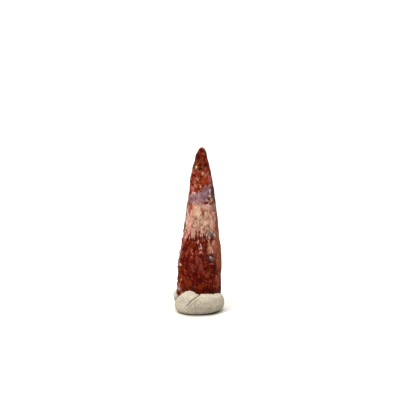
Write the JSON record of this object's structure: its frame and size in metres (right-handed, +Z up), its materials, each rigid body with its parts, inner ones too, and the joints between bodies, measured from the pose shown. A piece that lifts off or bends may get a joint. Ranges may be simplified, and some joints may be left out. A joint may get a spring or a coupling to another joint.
{
  "type": "fossil pterosaur tooth",
  "caption": "Fossil tooth, a slim oval cone of red-brown and cream enamel with a beaded edge, upright in a pressed lump of grey putty.",
  "frame": {"origin": "middle of the putty's flat underside", "axes": "+Z up along the tooth to its tip, -Y out of the tooth's broad front face, -X to its beaded edge"},
  "size_m": [0.007, 0.0059, 0.0225],
  "materials": {
    "tooth": "glossy mottled fossil enamel, oxblood brown with a cream and mauve band",
    "putty": "matte warm grey, finely grained, finger-pressed"
  },
  "bodies": {
    "root": {"tooth": "tooth", "putty_base": "putty"}
  },
  "joints": []
}
